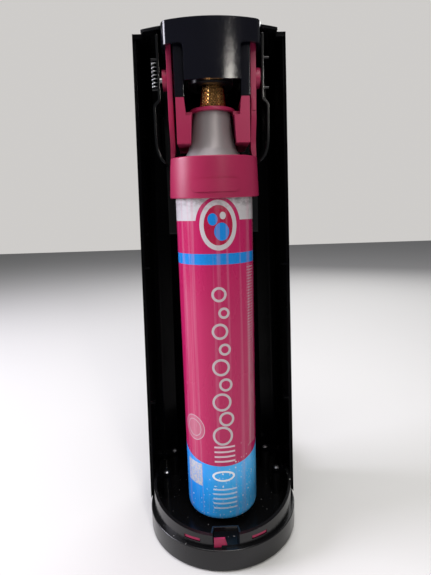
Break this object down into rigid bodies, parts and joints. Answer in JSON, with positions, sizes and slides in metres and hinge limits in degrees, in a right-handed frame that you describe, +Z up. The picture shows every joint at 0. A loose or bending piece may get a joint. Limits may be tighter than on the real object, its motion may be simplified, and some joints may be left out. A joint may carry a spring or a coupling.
{
  "type": "soda carbonator",
  "caption": "Countertop soda carbonator with its rear cover off, showing a gas cylinder held by a lever handle, under a head with press button and nozzle.",
  "frame": {"origin": "on the table, under the middle of the foot's outline", "axes": "+Z up, -Y towards the bottle side where the user stands, +Y towards the open service side with the gas cylinder"},
  "size_m": [0.127, 0.198, 0.4215],
  "materials": {
    "gloss_black": "moulded gloss black",
    "satin_black": "moulded satin black",
    "hood_black": "satin charcoal black",
    "magenta": "satin moulded magenta",
    "sleeve_print": "printed film sleeve, gloss",
    "aluminium": "silver lacquered",
    "brass": "machined and knurled",
    "steel": "zinc plated",
    "rubber": "moulded rubber",
    "tube_plastic": "natural off-white"
  },
  "bodies": {
    "housing": {"base_housing": "gloss_black", "column_shell": "gloss_black", "head_housing": "gloss_black", "top_cap": "gloss_black", "inner_frame": "satin_black", "hood": "hood_black", "gas_head": "satin_black", "seat_seal": "rubber", "relief_valve": "brass", "gas_tube": "tube_plastic", "tube_nut": "brass", "nozzle_block": "satin_black", "nozzle": "tube_plastic", "nozzle_seal": "rubber", "lever_pin": "steel", "button_spring": "steel", "detent_spring": "steel", "handle_pin_right": "steel", "handle_pin_left": "steel", "holder_pin_right": "steel", "holder_pin_left": "steel", "post_screw_1": "steel", "post_screw_2": "steel", "post_screw_3": "steel", "post_screw_4": "steel", "frame_screw_1": "steel", "frame_screw_2": "steel", "frame_screw_3": "steel", "frame_screw_4": "steel", "foot_pad_1": "rubber", "foot_pad_2": "rubber", "foot_pad_3": "rubber", "foot_pad_4": "rubber"},
    "handle": {"handle": "magenta"},
    "carrier": {"carrier": "magenta", "cylinder_body": "aluminium", "label_sleeve": "sleeve_print", "neck_collar": "magenta", "cylinder_valve": "brass", "valve_seal": "rubber"},
    "valve_pin": {"valve_pin": "steel"},
    "plunger": {"plunger": "steel"},
    "lever": {"lever": "satin_black"},
    "button": {"button": "gloss_black"},
    "bottle_holder": {"bottle_holder": "satin_black"},
    "tray": {"drip_tray": "gloss_black", "tray_grille": "satin_black"},
    "latch": {"latch_bar": "magenta"}
  },
  "joints": [
    {"name": "handle_lift", "type": "hinge", "parent": "housing", "child": "handle", "pos_m": [0, 0.0355, 0.3675], "axis": [1, 0, 0], "range_deg": [0, 90]},
    {"name": "carrier_drop", "type": "slide", "parent": "housing", "child": "carrier", "axis": [0, 0, -1], "range_m": [0, 0.0071]},
    {"name": "button_press", "type": "slide", "parent": "housing", "child": "button", "axis": [0, 0, -1], "range_m": [0, 0.007], "stiffness_N_per_m": 1500, "springref_m": -0.004, "deforming": ["button_spring"]},
    {"name": "lever_tilt", "type": "hinge", "parent": "housing", "child": "lever", "pos_m": [0, 0.0535, 0.393], "axis": [1, 0, 0], "range_deg": [0, 4.2]},
    {"name": "plunger_push", "type": "slide", "parent": "housing", "child": "plunger", "axis": [0, 0, -1], "range_m": [0, 0.0013]},
    {"name": "valve_pin_push", "type": "slide", "parent": "carrier", "child": "valve_pin", "axis": [0, 0, -1], "range_m": [0, 0.0013]},
    {"name": "holder_tilt", "type": "hinge", "parent": "housing", "child": "bottle_holder", "pos_m": [0, -0.051, 0.298], "axis": [-1, 0, 0], "range_deg": [0, 12]},
    {"name": "tray_lift", "type": "slide", "parent": "housing", "child": "tray", "axis": [0, 0, 1], "range_m": [0, 0.03]},
    {"name": "latch_press", "type": "slide", "parent": "housing", "child": "latch", "axis": [0, -1, 0], "range_m": [0, 0.003], "stiffness_N_per_m": 800, "springref_m": -0.002}
  ],
  "couplings": [
    {"joint": "carrier_drop", "follows": "handle_lift", "m_per_rad": 0.004456},
    {"joint": "lever_tilt", "follows": "button_press", "rad_per_m": 10.204},
    {"joint": "plunger_push", "follows": "button_press", "ratio": 0.18367},
    {"joint": "valve_pin_push", "follows": "button_press", "ratio": 0.18367}
  ]
}
